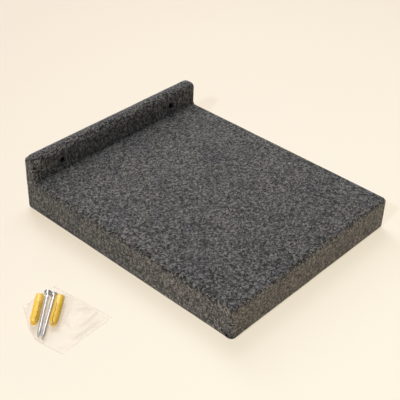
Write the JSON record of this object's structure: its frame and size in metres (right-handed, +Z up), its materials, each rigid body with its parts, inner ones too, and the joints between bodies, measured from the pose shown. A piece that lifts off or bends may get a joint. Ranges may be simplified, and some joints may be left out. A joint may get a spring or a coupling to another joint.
{
  "type": "cat wall platform",
  "caption": "Felt wrapped cat wall platform with an upstand drilled for wall screws, lying on its underside with its loose screws and plugs in a clear bag.",
  "frame": {"origin": "midway between the two wall screw holes, on the face that meets the wall", "axes": "+X along the wall to the right, +Y into the wall, +Z up"},
  "size_m": [0.3751, 0.3, 0.069],
  "materials": {
    "felt": "dark grey melange needle felt, matt, with light and dark fibres",
    "board": "raw fibreboard, sanded faces",
    "joint_screw_steel": "yellow passivated steel",
    "staple_wire": "galvanised wire",
    "wall_screw_zinc": "bright zinc plating",
    "plug_nylon": "satin yellow nylon",
    "bag_film": "clear thin polythene film"
  },
  "bodies": {
    "root": {"deck_board": "board", "wall_board": "board", "joint_screw_1": "joint_screw_steel", "joint_screw_2": "joint_screw_steel", "joint_screw_3": "joint_screw_steel", "joint_screw_4": "joint_screw_steel", "deck_felt": "felt", "upstand_felt": "felt", "underside_felt": "felt", "staples_front": "staple_wire", "staples_left": "staple_wire", "staples_right": "staple_wire", "staples_rear": "staple_wire", "wall_screw_1": "wall_screw_zinc", "wall_screw_2": "wall_screw_zinc", "wall_plug_1": "plug_nylon", "wall_plug_2": "plug_nylon", "fixings_bag": "bag_film"}
  },
  "joints": []
}
